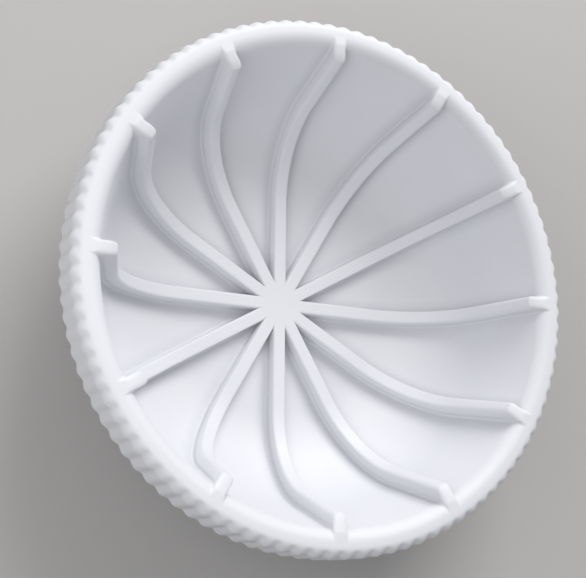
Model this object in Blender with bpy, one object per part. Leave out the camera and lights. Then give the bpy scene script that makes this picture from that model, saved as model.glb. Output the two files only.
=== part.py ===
"""Round silicone casting mould: a deep dished bowl with twelve inner ribs and a fluted rim.

The real mould is one silicone casting. It is modelled here as its separate working regions, each
a closed solid: the floor, the wall, the lip, the fluted band round the outside, and a star of
twelve ribs that meet in a central hub. Neighbours are kept a hair's breadth apart.

Frame: metres, +Z up. The origin is the centre of the flat underside. Rib 01 lies along +X and the
others follow anticlockwise.
"""

from math import cos, pi, radians, sin, sqrt, tan

import bmesh
import bpy

# Driving dimensions, in metres
OUTER_RADIUS = 0.100  # to the crests of the flutes
MOULD_HEIGHT = 0.0617  # underside to the top of the lip
MOUTH_RADIUS = 0.0905  # cavity wall, carried up to the plane of the lip
CORNER_RADIUS = 0.0407  # cavity surface between floor and wall
WALL_TAPER = radians(18.5)  # cavity wall from the vertical
SHELL_THICKNESS = 0.005  # floor and wall alike

RIM_HEIGHT = 0.017  # of the lip and of the fluted band round it
LIP_OUTER_ROUND = 0.0042
LIP_INNER_ROUND = 0.0055
BAND_FOOT_BEVEL = 0.0015
FLUTE_COUNT = 100
FLUTE_DEPTH = 0.001  # crest to cusp

RIB_COUNT = 12
RIB_WIDTH = 0.0052
RIB_DEPTH = 0.006  # how far a rib stands off the cavity surface
RIB_EDGE_BEVEL = 0.0008

JOINT_GAP = 0.0003  # clearance kept between neighbouring solids

# How finely curves are cut
SHELL_SEGMENTS = 96
SEGMENTS_PER_FLUTE = 4
CORNER_STEPS = 7
ROUND_STEPS = 4
SMOOTH_ANGLE = radians(35)

SILICONE_COLOUR = (0.84, 0.85, 0.88, 1.0)
SILICONE_ROUGHNESS = 0.55

# Derived: the centre of the corner's arc, shared by every line parallel to the cavity surface
ARC_Z = SHELL_THICKNESS + CORNER_RADIUS
ARC_END_Z = ARC_Z - CORNER_RADIUS * sin(WALL_TAPER)
ARC_R = MOUTH_RADIUS - (MOULD_HEIGHT - ARC_END_Z) * tan(WALL_TAPER) - CORNER_RADIUS * cos(WALL_TAPER)
RIM_FOOT_Z = MOULD_HEIGHT - RIM_HEIGHT
BAND_INNER_RADIUS = OUTER_RADIUS - LIP_OUTER_ROUND
SECTOR = 2 * pi / RIB_COUNT
RIB_START = (JOINT_GAP + RIB_WIDTH * cos(SECTOR / 2)) / 2 / sin(SECTOR / 2)
HUB_RADIUS = (RIB_START - JOINT_GAP) / cos(SECTOR / 2)


def clear_scene():
    for obj in list(bpy.data.objects):
        bpy.data.objects.remove(obj, do_unlink=True)


def silicone(name):
    """White silicone rubber, one material for each piece."""
    material = bpy.data.materials.new(name + "_silicone")
    material.use_nodes = True
    shader = material.node_tree.nodes["Principled BSDF"]
    shader.inputs["Base Color"].default_value = SILICONE_COLOUR
    shader.inputs["Roughness"].default_value = SILICONE_ROUGHNESS
    shader.inputs["Metallic"].default_value = 0.0
    return material


def finish(name, bm):
    """Turns the mesh into a named object, shaded smooth except at its true edges."""
    bmesh.ops.recalc_face_normals(bm, faces=bm.faces)
    mesh = bpy.data.meshes.new(name)
    bm.to_mesh(mesh)
    bm.free()
    mesh.shade_smooth()
    mesh.set_sharp_from_angle(angle=SMOOTH_ANGLE)
    mesh.materials.append(silicone(name))
    obj = bpy.data.objects.new(name, mesh)
    bpy.context.scene.collection.objects.link(obj)
    return obj


# Outlines, in the plane of radius and height


def wall_radius(z, depth=0.0):
    """Radius at height z of the wall line that lies depth outside the cavity surface."""
    return MOUTH_RADIUS - (MOULD_HEIGHT - z) * tan(WALL_TAPER) + depth / cos(WALL_TAPER)


def arc(centre_r, centre_z, radius, start, end, steps):
    """Points of an arc from start to end, both ends included."""
    angles = [start + (end - start) * i / steps for i in range(steps + 1)]
    return [(centre_r + radius * cos(a), centre_z + radius * sin(a)) for a in angles]


def corner_arc(depth, trim=0.0):
    """The corner's arc, depth outside the cavity surface, from the floor round to the wall.

    The trim shortens it by that length at the floor."""
    radius = CORNER_RADIUS + depth
    return arc(ARC_R, ARC_Z, radius, trim / radius - pi / 2, -WALL_TAPER, CORNER_STEPS)


def revolve(name, outline, segments, inset=None):
    """Turns a closed outline round Z. inset(angle, radius, z) is how far a point is drawn inwards."""
    bm = bmesh.new()
    rings = []
    for i in range(segments):
        angle = 2 * pi * i / segments
        ring = []
        for radius, z in outline:
            r = radius - (inset(angle, radius, z) if inset else 0.0)
            ring.append(bm.verts.new((r * cos(angle), r * sin(angle), z)))
        rings.append(ring)
    for i, ring in enumerate(rings):
        following = rings[(i + 1) % segments]
        for j in range(len(outline)):
            k = (j + 1) % len(outline)
            bm.faces.new((ring[j], following[j], following[k], ring[k]))
    return finish(name, bm)


def disc(name, radius, bottom, top, segments, turn=0.0):
    """A flat disc or, with few segments, a prism."""
    bm = bmesh.new()
    bmesh.ops.create_cone(
        bm, cap_ends=True, segments=segments, radius1=radius, radius2=radius, depth=top - bottom
    )
    bmesh.ops.translate(bm, verts=bm.verts, vec=(0, 0, (bottom + top) / 2))
    obj = finish(name, bm)
    obj.rotation_euler.z = turn
    return obj


# The shell and its rim


def base_disc():
    """The flat floor, whose underside the mould stands on."""
    return disc("base_disc", ARC_R, 0.0, SHELL_THICKNESS, SHELL_SEGMENTS)


def bowl_wall():
    """The curved corner and the tapered wall above it, of even thickness, up to the rim."""
    top = RIM_FOOT_Z - JOINT_GAP
    inner = corner_arc(0.0, JOINT_GAP) + [(wall_radius(top), top)]
    outer = corner_arc(SHELL_THICKNESS, JOINT_GAP) + [(wall_radius(top, SHELL_THICKNESS), top)]
    return revolve("bowl_wall", inner + outer[::-1], SHELL_SEGMENTS)


def lip_ring():
    """The top of the wall, thickened into a lip with a rounded inner edge."""
    outer = BAND_INNER_RADIUS - JOINT_GAP
    round_z = MOULD_HEIGHT - LIP_INNER_ROUND
    round_r = wall_radius(round_z, LIP_INNER_ROUND)
    inner_round = arc(round_r, round_z, LIP_INNER_ROUND, pi / 2, pi - WALL_TAPER, ROUND_STEPS)
    foot = [(wall_radius(RIM_FOOT_Z), RIM_FOOT_Z), (outer, RIM_FOOT_Z)]
    return revolve("lip_ring", foot + [(outer, MOULD_HEIGHT)] + inner_round, SHELL_SEGMENTS)


def flute_inset(angle, radius, z):
    """How far the band's outer face lies inside its crest circle: round flutes that meet in cusps.

    The flutes run straight up the band and die out over the lip's outer round."""
    reach = (radius - BAND_INNER_RADIUS) / LIP_OUTER_ROUND
    if reach <= 0.0:
        return 0.0
    fade = reach if z > MOULD_HEIGHT - LIP_OUTER_ROUND else 1.0
    pitch = 2 * pi / FLUTE_COUNT
    half_chord = OUTER_RADIUS * pitch / 2
    flute_radius = (half_chord**2 + FLUTE_DEPTH**2) / (2 * FLUTE_DEPTH)
    across = ((angle / pitch) % 1.0 * 2 - 1.0) * half_chord
    return fade * (flute_radius - sqrt(flute_radius**2 - across**2))


def fluted_band():
    """The band of upright flutes round the outside of the lip."""
    round_z = MOULD_HEIGHT - LIP_OUTER_ROUND
    outer_round = arc(BAND_INNER_RADIUS, round_z, LIP_OUTER_ROUND, 0.0, pi / 2, ROUND_STEPS)
    foot = [
        (BAND_INNER_RADIUS, RIM_FOOT_Z),
        (OUTER_RADIUS - BAND_FOOT_BEVEL, RIM_FOOT_Z),
        (OUTER_RADIUS, RIM_FOOT_Z + BAND_FOOT_BEVEL),
    ]
    return revolve("fluted_band", foot + outer_round, FLUTE_COUNT * SEGMENTS_PER_FLUTE, flute_inset)


# The hub and the ribs


def centre_hub():
    """The flat boss where the ribs meet, with one side for each rib."""
    bottom = SHELL_THICKNESS + JOINT_GAP
    top = SHELL_THICKNESS + RIB_DEPTH
    return disc("centre_hub", HUB_RADIUS, bottom, top, RIB_COUNT, SECTOR / 2)


def rib_line(height):
    """Side view of a rib: the line that stands height off the cavity surface, from hub to lip."""
    hub_end = (RIB_START, SHELL_THICKNESS + height)
    lip_end = (wall_radius(MOULD_HEIGHT, -height), MOULD_HEIGHT)
    return [hub_end] + corner_arc(-height) + [lip_end]


def rib(number):
    """A bar with bevelled edges that runs over the floor and up the wall to the top of the lip."""
    half = RIB_WIDTH / 2
    section = [
        (-half, JOINT_GAP),
        (-half, RIB_DEPTH - RIB_EDGE_BEVEL),
        (-half + RIB_EDGE_BEVEL, RIB_DEPTH),
        (half - RIB_EDGE_BEVEL, RIB_DEPTH),
        (half, RIB_DEPTH - RIB_EDGE_BEVEL),
        (half, JOINT_GAP),
    ]
    bm = bmesh.new()
    strings = []
    for across, height in section:
        strings.append([bm.verts.new((r, across, z)) for r, z in rib_line(height)])
    for i, string in enumerate(strings):
        beside = strings[(i + 1) % len(strings)]
        for j in range(len(string) - 1):
            bm.faces.new((string[j], string[j + 1], beside[j + 1], beside[j]))
    bm.faces.new([string[0] for string in strings])
    bm.faces.new([string[-1] for string in strings])
    obj = finish(f"rib_{number:02d}", bm)
    obj.rotation_euler.z = SECTOR * (number - 1)
    return obj


clear_scene()
base_disc()
bowl_wall()
lip_ring()
fluted_band()
centre_hub()
for rib_number in range(1, RIB_COUNT + 1):
    rib(rib_number)
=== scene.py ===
"""Looks for the round silicone casting mould.

The real mould is one soft casting, so its surface is built as one fine skin, from the middle of
the cavity out over the ribs, the lip and the flutes and back under to the middle of the underside.
The skin is then divided into one closed piece for each CAD part. Neighbouring pieces share their
edge points and the skin's normals, so no seam shows.

Everything is in metres, in the CAD's frame: +Z is up out of the mouth, z = 0 is the underside.
"""

from math import acos, asin, atan2, cos, pi, radians, sin, sqrt, tan

import bpy
import numpy as np
from mathutils import Matrix, Vector


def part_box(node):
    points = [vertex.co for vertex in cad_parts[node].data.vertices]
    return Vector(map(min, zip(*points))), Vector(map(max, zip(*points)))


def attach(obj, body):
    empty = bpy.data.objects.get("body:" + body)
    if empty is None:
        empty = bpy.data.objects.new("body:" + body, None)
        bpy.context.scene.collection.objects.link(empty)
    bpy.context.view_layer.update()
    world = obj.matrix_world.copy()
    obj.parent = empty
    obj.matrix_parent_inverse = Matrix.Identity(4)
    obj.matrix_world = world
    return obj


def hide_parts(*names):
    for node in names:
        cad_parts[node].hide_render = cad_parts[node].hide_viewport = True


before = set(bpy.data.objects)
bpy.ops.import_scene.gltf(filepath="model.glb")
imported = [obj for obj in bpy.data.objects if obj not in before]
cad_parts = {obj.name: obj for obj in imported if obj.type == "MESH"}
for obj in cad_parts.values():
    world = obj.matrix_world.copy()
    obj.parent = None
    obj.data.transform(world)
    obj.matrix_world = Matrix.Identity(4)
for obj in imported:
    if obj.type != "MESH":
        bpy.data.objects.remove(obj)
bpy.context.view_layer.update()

# Sizes read from the CAD
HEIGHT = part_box("lip_ring")[1].z
RIM_FOOT_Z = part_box("lip_ring")[0].z
FLOOR_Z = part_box("base_disc")[1].z
FLOOR_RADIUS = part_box("base_disc")[1].x  # where the flat floor turns up into the corner
OUTER_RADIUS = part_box("fluted_band")[1].x
RIB_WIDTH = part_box("rib_01")[1].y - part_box("rib_01")[0].y
RIB_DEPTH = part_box("centre_hub")[1].z - FLOOR_Z

# Shape of the bowl
WALL_TAPER = radians(18.5)
CORNER_RADIUS = 0.0407
SHELL_THICKNESS = FLOOR_Z
LIP_INNER_ROUND = 0.0055
LIP_OUTER_ROUND = 0.0042
FOOT_ROUND = 0.0015
FOOT_FILLET = 0.0015

# Shape of the flutes
FLUTE_COUNT = 100
FLUTE_DEPTH = 0.0009
FLUTE_SOFTNESS = 0.6  # 0 for round flutes that meet in cusps, 1 for an even wave
FLUTE_START = 0.15  # the flutes begin where the lip's outer round faces this much outward
FLUTE_FULL = 0.75  # and have their full depth from here
FLUTE_TURN = radians(0.25)  # from rib 01 to the valley beside it

# Shape of the ribs
RIB_COUNT = 12
RIB_EDGE_ROUND = 0.0008  # along the floor
RIB_END_ROUND = 0.0019  # at the lip, where the ribs are rounder
RIB_FILLET = 0.0011
RIB_DRAFT = radians(2.0)
RIB_END_BLEND = 0.0015  # softness of the edge between a rib's face and its square end
RIB_SOFTNESS = 0.35  # how far a rib's sides are shaded like its face: light soaks through rubber

# How finely the skin is cut across a rib's sector, and round the outside
TOP_CUTS = 3
ROUND_CUTS = 5
SIDE_CUTS = 3
FLOOR_CUTS = 6
FLUTE_CUTS = 10
SHELL_CUTS = 240

# How finely it is cut along its outline
HUB_STEPS = 4
FLOOR_STEPS = 9
CORNER_STEPS = 26
WALL_STEPS = 4
RIM_STEPS = 6
RIB_END_STEPS = 4
LIP_START_STEPS = 5
LIP_TOP_STEPS = 11
BAND_TOP_STEPS = 10
FILLET_STEPS = 5
SHELL_CORNER_STEPS = 22
BASE_STEPS = 5

SECTOR = 2 * pi / RIB_COUNT
CORNER_Z = FLOOR_Z + CORNER_RADIUS
MERGE = 1e-6  # points nearer than this are one
SAME_ANGLE = 1e-7
TINY = 1e-20


# Outlines, in the plane of radius and height. A station is (radius, z, normal_r, normal_z).


def mix(a, b, t):
    """The value the share t of the way from a to b."""
    return a + (b - a) * t


def arc_stations(centre_r, centre_z, radius, start, end, steps, side=1.0):
    """Stations along an arc. side is 1 where the skin faces away from the arc's centre, else -1."""
    found = []
    for i in range(1, steps + 1):
        a = mix(start, end, i / steps)
        place = (centre_r + radius * cos(a), centre_z + radius * sin(a))
        found.append((*place, side * cos(a), side * sin(a)))
    return found


def line_stations(start, end, normal, steps):
    """Stations along a straight stretch, without its start."""
    found = []
    for i in range(1, steps + 1):
        t = i / steps
        found.append((mix(start[0], end[0], t), mix(start[1], end[1], t), *normal))
    return found


CORNER_END = (
    FLOOR_RADIUS + CORNER_RADIUS * cos(WALL_TAPER),
    CORNER_Z - CORNER_RADIUS * sin(WALL_TAPER),
)


def wall_radius(z, depth=0.0):
    """Radius at height z of the wall line that lies depth outside the cavity surface."""
    return CORNER_END[0] + (z - CORNER_END[1]) * tan(WALL_TAPER) + depth / cos(WALL_TAPER)


LIP_ROUND_Z = HEIGHT - LIP_INNER_ROUND
LIP_ROUND_R = wall_radius(LIP_ROUND_Z, LIP_INNER_ROUND)
LIP_EDGE = (
    LIP_ROUND_R - LIP_INNER_ROUND * cos(WALL_TAPER),
    LIP_ROUND_Z + LIP_INNER_ROUND * sin(WALL_TAPER),
)
SPLIT_RADIUS = (LIP_ROUND_R + OUTER_RADIUS - LIP_OUTER_ROUND) / 2  # between lip and fluted band
FLOOR_NORMAL = (0.0, 1.0)
WALL_NORMAL = (-cos(WALL_TAPER), sin(WALL_TAPER))
OUTWARD = (1.0, 0.0)
LIP_BEND = radians(155)  # on the lip's inner round, the steps are finer before this angle


def rib_height(station):
    """How far a rib stands off the skin at a station: its depth, cut off by the lip's plane."""
    room = (HEIGHT - station[1]) / max(station[3], MERGE)
    overlap = max(RIB_END_BLEND - abs(RIB_DEPTH - room), 0.0) / RIB_END_BLEND
    return max(min(RIB_DEPTH, room) - overlap**2 * RIB_END_BLEND / 4, 0.0)


def edge_round(station):
    """Radius of a rib's upper edges at a station: it grows as the rib climbs the wall."""
    return mix(RIB_EDGE_ROUND, RIB_END_ROUND, (station[1] - FLOOR_Z) / (HEIGHT - FLOOR_Z))


def rib_section(height, edge_radius=RIB_EDGE_ROUND):
    """Half the section of a rib of that height: points (across, above) from its middle to its foot.

    A flat top, a round edge, a drafted side and a round fillet. On a low rib the side goes first,
    then the round and the fillet turn through less than a right angle."""
    both = edge_radius + RIB_FILLET
    turn = pi / 2 - RIB_DRAFT
    straight = height - both * (1 - cos(turn))
    if straight < 0.0:
        straight = 0.0
        turn = acos(max(1 - height / both, -1.0))
    lean = straight * tan(RIB_DRAFT)
    edge = RIB_WIDTH / 2 - edge_radius * sin(turn) - lean / 2
    foot = RIB_WIDTH / 2 + RIB_FILLET * sin(turn) + lean / 2
    points = [(edge * i / TOP_CUTS, height) for i in range(TOP_CUTS)]
    for i in range(ROUND_CUTS + 1):
        a = turn * i / ROUND_CUTS
        points.append((edge + edge_radius * sin(a), height - edge_radius * (1 - cos(a))))
    side_top = points[-1]
    side_foot = (foot - RIB_FILLET * sin(turn), RIB_FILLET * (1 - cos(turn)))
    for i in range(1, SIDE_CUTS + 1):
        t = i / SIDE_CUTS
        points.append((mix(side_top[0], side_foot[0], t), mix(side_top[1], side_foot[1], t)))
    for i in range(1, ROUND_CUTS + 1):
        a = turn * (1 - i / ROUND_CUTS)
        points.append((foot - RIB_FILLET * sin(a), RIB_FILLET * (1 - cos(a))))
    return points


FOOT_COLUMN = TOP_CUTS + 2 * ROUND_CUTS + SIDE_CUTS
COLUMNS = FOOT_COLUMN + FLOOR_CUTS


def height_across(section, across):
    """Height of a rib's section at a distance across it."""
    for (y0, h0), (y1, h1) in zip(section, section[1:]):
        if across <= y1:
            return mix(h0, h1, (across - y0) / max(y1 - y0, MERGE))
    return 0.0


# The skin: points, and faces kept by the part they belong to


class Skin:
    """Shared points, and each part's faces: those that show and those hidden between parts."""

    def __init__(self):
        self.points = []
        self.leans = {}
        self.faces = {}
        self.hidden = {}

    def add(self, point, lean=None):
        """Adds a point. lean is the direction its shading leans to."""
        self.points.append(point)
        if lean is not None:
            self.leans[len(self.points) - 1] = lean
        return len(self.points) - 1

    def face(self, part, corners, hidden=False):
        """A face of a part; corners that coincide are dropped."""
        ring = [c for i, c in enumerate(corners) if c != corners[i - 1]]
        if len(set(ring)) == len(ring) and len(ring) > 2:
            (self.hidden if hidden else self.faces).setdefault(part, []).append(ring)

    def wall(self, part, neighbour, corners):
        """A hidden face between two parts, outward for the first and turned round for the second."""
        self.face(part, corners, hidden=True)
        self.face(neighbour, corners[::-1], hidden=True)


skin = Skin()


def on_ring(radius, z, count, flute_share=0.0):
    """Adds a ring of points, drawn in by a share of the flutes' depth."""
    ring = []
    for i in range(count):
        angle = 2 * pi * i / count
        r = radius - flute_share * flute_inset(angle)
        ring.append(skin.add((r * cos(angle), r * sin(angle), z)))
    return ring


def angle_of(index):
    """Angle of a point round the middle, from 0 up to a full turn."""
    x, y, _ = skin.points[index]
    return atan2(y, x) % (2 * pi)


def from_zero(ring):
    """The ring, started at its point nearest after angle zero, with each point's angle."""
    angles = [angle_of(i) for i in ring]
    angles = [a - 2 * pi if a > 2 * pi - MERGE else a for a in angles]
    first = angles.index(min(angles))
    ring, angles = ring[first:] + ring[:first], angles[first:] + angles[:first]
    return ring + [ring[0]], angles + [angles[0] + 2 * pi]


def stitch(inner, outer, emit):
    """Triangles between two rings whose points don't match, in step with their angles."""
    inner, inner_angles = from_zero(inner)
    outer, outer_angles = from_zero(outer)
    i = j = 0
    while i < len(inner) - 1 or j < len(outer) - 1:
        step_inner = j == len(outer) - 1 or (
            i < len(inner) - 1 and inner_angles[i + 1] <= outer_angles[j + 1]
        )
        if step_inner:
            emit((inner[i], outer[j], inner[i + 1]))
            i += 1
        else:
            emit((inner[i], outer[j], outer[j + 1]))
            j += 1


def quads(inner, outer, emit):
    """Quads between two rings whose points match."""
    for i in range(len(inner)):
        k = (i + 1) % len(inner)
        emit((inner[i], outer[i], outer[k], inner[k]))


# The cavity side, with the ribs


def cavity_stations():
    """Stations from the middle of the floor to the top of the lip, and where the parts end."""
    section = rib_section(RIB_DEPTH)
    crossings = [y / sin(SECTOR / 2) for y, h in section[TOP_CUTS:]]
    crossings = sorted(set(round(r, 7) for r in crossings))
    first = crossings[0]
    stations = [(first * i / HUB_STEPS, FLOOR_Z, *FLOOR_NORMAL) for i in range(1, HUB_STEPS)]
    stations += [(r, FLOOR_Z, *FLOOR_NORMAL) for r in crossings]
    hub_end = len(stations) - 1
    hub_edge, floor_edge = (crossings[-1], FLOOR_Z), (FLOOR_RADIUS, FLOOR_Z)
    stations += line_stations(hub_edge, floor_edge, FLOOR_NORMAL, FLOOR_STEPS)
    floor_end = len(stations) - 1
    corner = (FLOOR_RADIUS, CORNER_Z, CORNER_RADIUS)
    stations += arc_stations(*corner, -pi / 2, -WALL_TAPER, CORNER_STEPS, side=-1.0)
    rim = (wall_radius(RIM_FOOT_Z), RIM_FOOT_Z)
    stations += line_stations(CORNER_END, rim, WALL_NORMAL, WALL_STEPS)
    wall_end = len(stations) - 1
    turn_z = LIP_EDGE[1] - RIB_END_BLEND / 3
    turn = (wall_radius(turn_z), turn_z)
    stations += line_stations(rim, turn, WALL_NORMAL, RIM_STEPS)
    stations += line_stations(turn, LIP_EDGE, WALL_NORMAL, RIB_END_STEPS)
    lip = (LIP_ROUND_R, LIP_ROUND_Z, LIP_INNER_ROUND)
    stations += arc_stations(*lip, pi - WALL_TAPER, LIP_BEND, LIP_START_STEPS)
    stations += arc_stations(*lip, LIP_BEND, pi / 2, LIP_TOP_STEPS)
    return stations, hub_end, floor_end, wall_end


def half_row(station):
    """One row across half a rib's sector, in the rib's own axes, from its middle outward.

    Near the hub the row stops at the line between two ribs, and the points past it all lie there."""
    radius, z, normal_r, normal_z = station
    section = rib_section(rib_height(station), edge_round(station))
    limit = radius * sin(SECTOR / 2)
    row = []
    for y, above in section:
        if y >= limit - MERGE:
            y, above = limit, height_across(section, limit)
        row.append((sqrt(radius**2 - y**2) + above * normal_r, y, z + above * normal_z))
    start = asin(min(section[-1][0] / radius, sin(SECTOR / 2)))
    for i in range(1, FLOOR_CUTS + 1):
        a = mix(start, SECTOR / 2, i / FLOOR_CUTS)
        if section[-1][0] >= limit - MERGE:
            row.append(row[-1])
        else:
            row.append((radius * cos(a), radius * sin(a), z))
    return row


def turned(point, angle):
    """The point turned round the mould's axis."""
    x, y, z = point
    return (x * cos(angle) - y * sin(angle), x * sin(angle) + y * cos(angle), z)


def lay_row(station):
    """Adds a full row round the cavity. Returns a list for each rib of 2 * COLUMNS + 1 indices."""
    half = half_row(station)
    normal_r, normal_z = station[2:]
    raised = sum(above > RIB_FILLET for _, above in rib_section(rib_height(station)))
    shared = {}
    sectors = []
    for rib in range(RIB_COUNT):
        angle = rib * SECTOR
        indices = [None] * (2 * COLUMNS + 1)
        for side in (-1, 1):
            previous = None
            for j, (x, y, z) in enumerate(half):
                slot = COLUMNS + side * j
                if j == 0 and side == 1:
                    previous = (x, y, z)
                    continue
                at_edge = abs(atan2(y, x) - SECTOR / 2) < SAME_ANGLE
                if at_edge:
                    key = (rib + (1 if side == 1 else 0)) % RIB_COUNT
                    if key not in shared:
                        shared[key] = skin.add(turned((x, side * y, z), angle))
                    indices[slot] = shared[key]
                elif previous and max(abs(a - b) for a, b in zip(previous, (x, y, z))) < MERGE:
                    indices[slot] = indices[slot - side]
                else:
                    lean = turned((normal_r, 0.0, normal_z), angle) if j < raised else None
                    indices[slot] = skin.add(turned((x, side * y, z), angle), lean)
                previous = (x, y, z)
        sectors.append(indices)
    return sectors


def rib_name(rib):
    """Node name of a rib, counted from 0."""
    return f"rib_{rib + 1:02d}"


def base_ring(sectors):
    """The row's ring at the level of the floor or wall, straight across the foot of each rib."""
    ring = []
    for indices in sectors:
        kept = indices[: COLUMNS - FOOT_COLUMN + 1] + indices[COLUMNS + FOOT_COLUMN :]
        for i in kept:
            if not ring or ring[-1] != i:
                ring.append(i)
    if ring[0] == ring[-1]:
        ring.pop()
    return ring


def ladder(indices, emit):
    """Closes a rib's section a rung at a time up to its flat top, and that with a fan."""
    rung = TOP_CUTS + 1
    for j in range(FOOT_COLUMN, rung, -1):
        left, right = COLUMNS - j, COLUMNS + j
        emit((indices[left], indices[right], indices[right - 1], indices[left + 1]))
    for j in range(rung, 1 - rung, -1):
        emit((indices[COLUMNS - rung], indices[COLUMNS + j], indices[COLUMNS + j - 1]))


def lay_cavity():
    """Lays the cavity side of the skin. Returns its rings at the edges of floor, wall and lip."""
    stations, hub_end, floor_end, wall_end = cavity_stations()
    rows = [lay_row(s) for s in stations]
    last = len(rows) - 1
    rib_end = last - 1
    middle = skin.add((0.0, 0.0, FLOOR_Z + RIB_DEPTH))
    for indices in rows[0]:
        for a, b in zip(indices, indices[1:]):
            skin.face("centre_hub", (middle, a, b))
    for k in range(last):
        shell = "base_disc" if k < floor_end else "bowl_wall" if k < wall_end else "lip_ring"
        for rib in range(RIB_COUNT):
            near, far = rows[k][rib], rows[k + 1][rib]
            for j in range(2 * COLUMNS):
                on_rib = COLUMNS - FOOT_COLUMN <= j < COLUMNS + FOOT_COLUMN
                part = shell
                if k < hub_end:
                    part = "centre_hub"
                elif on_rib and k < rib_end:
                    part = rib_name(rib)
                skin.face(part, (near[j], far[j], far[j + 1], near[j + 1]))
            if hub_end <= k < rib_end:
                a, b = COLUMNS - FOOT_COLUMN, COLUMNS + FOOT_COLUMN
                skin.wall(shell, rib_name(rib), (near[a], far[a], far[b], near[b]))
    under_hub = skin.add((0.0, 0.0, FLOOR_Z))
    for rib in range(RIB_COUNT):
        start, end = rows[hub_end][rib], rows[rib_end][rib]
        ladder(start, lambda f: skin.wall("centre_hub", rib_name(rib), f))
        ladder(end, lambda f: skin.wall(rib_name(rib), "lip_ring", f))
        skin.wall("base_disc", "centre_hub", (under_hub, start[0], start[-1]))
    top = [i for indices in rows[last] for i in indices]
    top = [i for n, i in enumerate(top) if i != top[n - 1]]
    return base_ring(rows[floor_end]), base_ring(rows[wall_end]), top


# The outside: the flutes, the ledge under them, and the plain shell


def flute_inset(angle):
    """How far the flutes lie inside their crest circle: round arcs with softened valleys."""
    half_chord = OUTER_RADIUS * pi / FLUTE_COUNT
    flute_radius = (half_chord**2 + FLUTE_DEPTH**2) / (2 * FLUTE_DEPTH)
    turn = ((angle - FLUTE_TURN) * FLUTE_COUNT / (2 * pi)) % 1.0
    across = (2 * turn - 1) * half_chord
    arc = flute_radius - sqrt(flute_radius**2 - across**2)
    wave = FLUTE_DEPTH * (1 + cos(2 * pi * turn)) / 2
    return mix(arc, wave, FLUTE_SOFTNESS)


def ease(t):
    """A smooth step from 0 to 1."""
    t = min(max(t, 0.0), 1.0)
    return t * t * (3 - 2 * t)


def band_outline():
    """Outline of the fluted band, as (radius, z, share of the flutes' depth).

    The flutes die out over the lip's outer round and under the foot."""
    top_r, top_z = OUTER_RADIUS - LIP_OUTER_ROUND, HEIGHT - LIP_OUTER_ROUND
    foot_r, foot_z = OUTER_RADIUS - FOOT_ROUND, RIM_FOOT_Z + FOOT_ROUND
    outline = [(SPLIT_RADIUS, HEIGHT, 0.0), (top_r, HEIGHT, 0.0)]
    for r, z, out, _ in arc_stations(top_r, top_z, LIP_OUTER_ROUND, pi / 2, 0.0, BAND_TOP_STEPS):
        outline.append((r, z, ease((out - FLUTE_START) / (FLUTE_FULL - FLUTE_START))))
    side_top, side_foot = (OUTER_RADIUS, top_z), (OUTER_RADIUS, foot_z)
    for r, z, *_ in line_stations(side_top, side_foot, OUTWARD, WALL_STEPS):
        outline.append((r, z, 1.0))
    for r, z, out, _ in arc_stations(foot_r, foot_z, FOOT_ROUND, 0.0, -pi / 2, FILLET_STEPS):
        outline.append((r, z, out))
    outline.append((SPLIT_RADIUS, RIM_FOOT_Z, 0.0))
    return outline


def shell_outline():
    """Outline of the plain outside: the fillet under the rim, wall, corner and underside."""
    centre_z = RIM_FOOT_Z - FOOT_FILLET
    centre_r = wall_radius(centre_z, SHELL_THICKNESS + FOOT_FILLET)
    fillet = arc_stations(centre_r, centre_z, FOOT_FILLET, pi / 2, pi - WALL_TAPER, FILLET_STEPS)
    radius = CORNER_RADIUS + SHELL_THICKNESS
    corner_top = (FLOOR_RADIUS + radius * cos(WALL_TAPER), CORNER_Z - radius * sin(WALL_TAPER))
    under_rim = [(centre_r, RIM_FOOT_Z)] + [s[:2] for s in fillet]
    wall = line_stations(under_rim[-1], corner_top, OUTWARD, WALL_STEPS)
    wall += arc_stations(
        FLOOR_RADIUS, CORNER_Z, radius, -WALL_TAPER, -pi / 2, SHELL_CORNER_STEPS
    )
    base = [(FLOOR_RADIUS * (1 - i / BASE_STEPS), 0.0) for i in range(1, BASE_STEPS)]
    return under_rim, [s[:2] for s in wall], base


def lay_outside(floor_ring, wall_ring, lip_ring):
    """Lays the rest of the skin, and the hidden faces between the shell's own parts."""
    count = FLUTE_COUNT * FLUTE_CUTS
    band = [on_ring(r, z, count, share) for r, z, share in band_outline()]
    stitch(lip_ring, band[0], lambda f: skin.face("lip_ring", f))
    for inner, outer in zip(band, band[1:]):
        quads(inner, outer, lambda f: skin.face("fluted_band", f))
    quads(band[0], band[-1], lambda f: skin.wall("lip_ring", "fluted_band", f))
    under_rim, wall, base = shell_outline()
    under_rim = [on_ring(r, z, SHELL_CUTS) for r, z in under_rim]
    wall = [on_ring(r, z, SHELL_CUTS) for r, z in wall]
    base = [on_ring(r, z, SHELL_CUTS) for r, z in base]
    stitch(band[-1], under_rim[0], lambda f: skin.face("lip_ring", f))
    for inner, outer in zip(under_rim, under_rim[1:]):
        quads(inner, outer, lambda f: skin.face("lip_ring", f))
    for inner, outer in zip(under_rim[-1:] + wall, wall):
        quads(inner, outer, lambda f: skin.face("bowl_wall", f))
    for inner, outer in zip(wall[-1:] + base, base):
        quads(inner, outer, lambda f: skin.face("base_disc", f))
    middle = skin.add((0.0, 0.0, 0.0))
    for i in range(SHELL_CUTS):
        skin.face("base_disc", (base[-1][i], middle, base[-1][(i + 1) % SHELL_CUTS]))
    stitch(wall_ring, under_rim[-1], lambda f: skin.wall("bowl_wall", "lip_ring", f))
    stitch(floor_ring, wall[-1], lambda f: skin.wall("base_disc", "bowl_wall", f))


def area_vector(corners):
    """A vector along the normal of a face, twice as long as its area."""
    return np.cross(corners, np.roll(corners, -1, axis=0)).sum(axis=0)


def unit(vectors):
    """Each vector at a length of 1."""
    return vectors / np.maximum(np.linalg.norm(vectors, axis=-1, keepdims=True), TINY)


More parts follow.
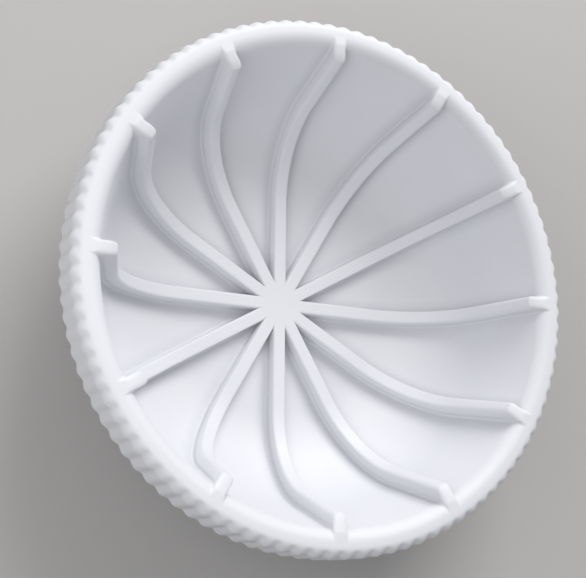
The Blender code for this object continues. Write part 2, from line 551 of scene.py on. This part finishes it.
def skin_normals():
    """The whole skin's normal at each point, so that pieces shade alike where they meet.

    On the ribs it leans towards the direction of the rib's face."""
    points = np.array(skin.points)
    normals = np.zeros_like(points)
    for faces in skin.faces.values():
        for ring in faces:
            normals[ring] += area_vector(points[ring])
    normals = unit(normals)
    for i, lean in skin.leans.items():
        if normals[i] @ lean > 0.0:
            normals[i] = unit(mix(normals[i], np.array(lean), RIB_SOFTNESS))
    return normals


def make_piece(part, normals, material):
    """The closed mesh of one part, shaded with the skin's normals where it shows."""
    seen = skin.faces[part]
    rings = seen + skin.hidden.get(part, [])
    used = sorted({i for ring in rings for i in ring})
    renumber = {old: new for new, old in enumerate(used)}
    points = np.array(skin.points)
    mesh = bpy.data.meshes.new("mould_" + part)
    mesh.from_pydata(points[used].tolist(), [], [[renumber[i] for i in r] for r in rings])
    mesh.update()
    mesh.shade_smooth()
    corner_normals = []
    for n, ring in enumerate(rings):
        if n < len(seen):
            corner_normals += [tuple(normals[i]) for i in ring]
        else:
            corner_normals += [tuple(unit(area_vector(points[ring])))] * len(ring)
    mesh.normals_split_custom_set(corner_normals)
    piece = bpy.data.objects.new("mould_" + part, mesh)
    piece.data.materials.append(material)
    bpy.context.scene.collection.objects.link(piece)
    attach(piece, "root")
    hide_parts(part)


# Material

PALE_TINTS = ((0.750, 0.757, 0.790, 1.0), (0.772, 0.780, 0.812, 1.0))
GLOSS_RANGE = (0.42, 0.56)  # roughness
MOTTLE_SCALE = 28.0
MOTTLE_DETAIL = 4.0
GRAIN_SCALE = 1400.0
GRAIN_DETAIL = 2.0
GRAIN_DEPTH = 0.0002
GRAIN_STRENGTH = 0.06
RUBBER_IOR = 1.41
PAINTED_SHADE_REACH = 0.006  # painted shade: the rubber's colour is darkened in its hollows within this distance
PAINTED_SHADE_LEVEL = 0.76  # painted shade: down to this share of its colour
PAINTED_SHADE_FULL = 0.25  # the painted shade is full where no more than this share of the directions round a point is open
PAINTED_SHADE_SAMPLES = 8

# Sockets of a Mix node for colours
FACTOR, FIRST, SECOND, RESULT = 0, 6, 7, 2


def noise(nodes, links, place, scale, detail):
    """A noise texture in the object's own axes."""
    node = nodes.new("ShaderNodeTexNoise")
    node.inputs["Scale"].default_value = scale
    node.inputs["Detail"].default_value = detail
    links.new(place.outputs["Object"], node.inputs["Vector"])
    return node


def tinted_with_painted_shade(nodes, links, mottle):
    """The rubber's colour: two pale tints in a slight mottle, with painted shade that darkens it in
    the hollows.
    """
    tint = nodes.new("ShaderNodeMix")
    tint.data_type = "RGBA"
    tint.inputs[FIRST].default_value, tint.inputs[SECOND].default_value = PALE_TINTS
    links.new(mottle.outputs["Fac"], tint.inputs[FACTOR])
    # Painted shade: ambient occlusion darkens the colour in hollows and corners, where shade falls.
    open_share = nodes.new("ShaderNodeAmbientOcclusion")
    open_share.samples = PAINTED_SHADE_SAMPLES
    open_share.inputs["Distance"].default_value = PAINTED_SHADE_REACH
    painted_shade = nodes.new("ShaderNodeMapRange")
    painted_shade.inputs["From Min"].default_value = PAINTED_SHADE_FULL
    painted_shade.inputs["To Min"].default_value = PAINTED_SHADE_LEVEL
    links.new(open_share.outputs["AO"], painted_shade.inputs["Value"])
    colour = nodes.new("ShaderNodeMix")
    colour.data_type = "RGBA"
    colour.blend_type = "MULTIPLY"
    colour.inputs[FACTOR].default_value = 1.0
    links.new(tint.outputs[RESULT], colour.inputs[FIRST])
    links.new(painted_shade.outputs["Result"], colour.inputs[SECOND])
    return colour


def silicone():
    """White silicone rubber: satin, faintly cool, with a slight mottle, the tool's grain and painted
    shade in its hollows.
    """
    material = bpy.data.materials.new("white_silicone")
    material.use_nodes = True
    nodes, links = material.node_tree.nodes, material.node_tree.links
    shader = nodes["Principled BSDF"]
    shader.inputs["IOR"].default_value = RUBBER_IOR
    place = nodes.new("ShaderNodeTexCoord")
    mottle = noise(nodes, links, place, MOTTLE_SCALE, MOTTLE_DETAIL)
    colour = tinted_with_painted_shade(nodes, links, mottle)
    links.new(colour.outputs[RESULT], shader.inputs["Base Color"])
    gloss = nodes.new("ShaderNodeMapRange")
    gloss.inputs["To Min"].default_value, gloss.inputs["To Max"].default_value = GLOSS_RANGE
    links.new(mottle.outputs["Fac"], gloss.inputs["Value"])
    links.new(gloss.outputs["Result"], shader.inputs["Roughness"])
    grain = noise(nodes, links, place, GRAIN_SCALE, GRAIN_DETAIL)
    bump = nodes.new("ShaderNodeBump")
    bump.inputs["Strength"].default_value = GRAIN_STRENGTH
    bump.inputs["Distance"].default_value = GRAIN_DEPTH
    links.new(grain.outputs["Fac"], bump.inputs["Height"])
    links.new(bump.outputs["Normal"], shader.inputs["Normal"])
    return material


# Stage

FLOOR_HALF_SIZE = 3.0
FLOOR_DROP = 0.0002  # keeps the floor clear of the underside
FLOOR_SKIP = 0.003
FLOOR_COLOUR = (0.47, 0.46, 0.45, 1.0)
FLOOR_ROUGHNESS = 0.8


def floor_material():
    """Matt and pale, and see-through from below so that the underside can be looked at.

    Light that meets it within FLOOR_SKIP of a surface also passes: the underside isn't black."""
    material = bpy.data.materials.new("pale_floor")
    material.use_nodes = True
    nodes, links = material.node_tree.nodes, material.node_tree.links
    shader = nodes["Principled BSDF"]
    shader.inputs["Base Color"].default_value = FLOOR_COLOUR
    shader.inputs["Roughness"].default_value = FLOOR_ROUGHNESS
    side = nodes.new("ShaderNodeNewGeometry")
    path = nodes.new("ShaderNodeLightPath")
    close = nodes.new("ShaderNodeMath")
    close.operation = "LESS_THAN"
    close.inputs[1].default_value = FLOOR_SKIP
    passes = nodes.new("ShaderNodeMath")
    passes.operation = "MAXIMUM"
    clear = nodes.new("ShaderNodeBsdfTransparent")
    either = nodes.new("ShaderNodeMixShader")
    links.new(path.outputs["Ray Length"], close.inputs[0])
    links.new(close.outputs["Value"], passes.inputs[0])
    links.new(side.outputs["Backfacing"], passes.inputs[1])
    links.new(passes.outputs["Value"], either.inputs["Fac"])
    links.new(shader.outputs["BSDF"], either.inputs[1])
    links.new(clear.outputs["BSDF"], either.inputs[2])
    links.new(either.outputs["Shader"], nodes["Material Output"].inputs["Surface"])
    return material


def floor_plane():
    """The floor that the mould stands on."""
    mesh = bpy.data.meshes.new("floor")
    signs = ((-1, -1), (1, -1), (1, 1), (-1, 1))
    corners = [(x * FLOOR_HALF_SIZE, y * FLOOR_HALF_SIZE, 0.0) for x, y in signs]
    mesh.from_pydata(corners, [], [(0, 1, 2, 3)])
    mesh.materials.append(floor_material())
    plane = bpy.data.objects.new("floor", mesh)
    plane.location.z = -FLOOR_DROP
    bpy.context.scene.collection.objects.link(plane)


CAMERA_PLACE = Vector((-0.20617, -0.10860, HEIGHT + 0.38094))
CAMERA_AIM = Vector((-0.01930, -0.00665, HEIGHT))
CAMERA_ROLL = radians(65.0)
CAMERA_LENS = 75.755  # mm, on a sensor of CAMERA_SENSOR
CAMERA_SENSOR = 36.0


def camera():
    """Looks into the mould from its low-x side, so that the far wall shows most."""
    data = bpy.data.cameras.new("camera")
    data.sensor_width = CAMERA_SENSOR
    data.lens = CAMERA_LENS
    away = (CAMERA_PLACE - CAMERA_AIM).normalized()
    level = away.to_track_quat("Z", "Y").to_matrix()
    facing = level @ Matrix.Rotation(CAMERA_ROLL, 3, "Z")
    obj = bpy.data.objects.new("camera", data)
    obj.matrix_world = Matrix.Translation(CAMERA_PLACE) @ facing.to_4x4()
    bpy.context.scene.collection.objects.link(obj)
    bpy.context.scene.camera = obj


DAYLIGHT = (0.975, 0.98, 1.0, 1.0)
DAYLIGHT_STRENGTH = 0.40


def soft_box(name, azimuth, elevation, distance, size, power):
    """A square light that faces the mould, placed in degrees round from rib 01 and up from level."""
    data = bpy.data.lights.new(name, "AREA")
    data.size = size
    data.energy = power
    obj = bpy.data.objects.new(name, data)
    azimuth, elevation = radians(azimuth), radians(elevation)
    level = cos(elevation)
    away = Vector((level * cos(azimuth), level * sin(azimuth), sin(elevation)))
    obj.location = Vector((0.0, 0.0, HEIGHT / 2)) + distance * away
    obj.rotation_mode = "QUATERNION"
    obj.rotation_quaternion = away.to_track_quat("Z", "Y")
    bpy.context.scene.collection.objects.link(obj)


def lighting():
    """A big key light, a small near fill, a weak side light and even daylight."""
    soft_box("key", azimuth=74, elevation=38, distance=1.2, size=0.8, power=12.6)
    soft_box("near_fill", azimuth=200, elevation=42, distance=0.42, size=0.25, power=0.50)
    soft_box("side", azimuth=0, elevation=20, distance=1.2, size=0.8, power=0.3)
    world = bpy.data.worlds.new("studio")
    world.use_nodes = True
    background = world.node_tree.nodes["Background"]
    background.inputs["Color"].default_value = DAYLIGHT
    background.inputs["Strength"].default_value = DAYLIGHT_STRENGTH
    bpy.context.scene.world = world
    bpy.context.scene.view_settings.view_transform = "Standard"


rings = lay_cavity()
lay_outside(*rings)
silicone_material = silicone()
smooth_normals = skin_normals()
for part_name in sorted(skin.faces):
    make_piece(part_name, smooth_normals, silicone_material)
floor_plane()
camera()
lighting()
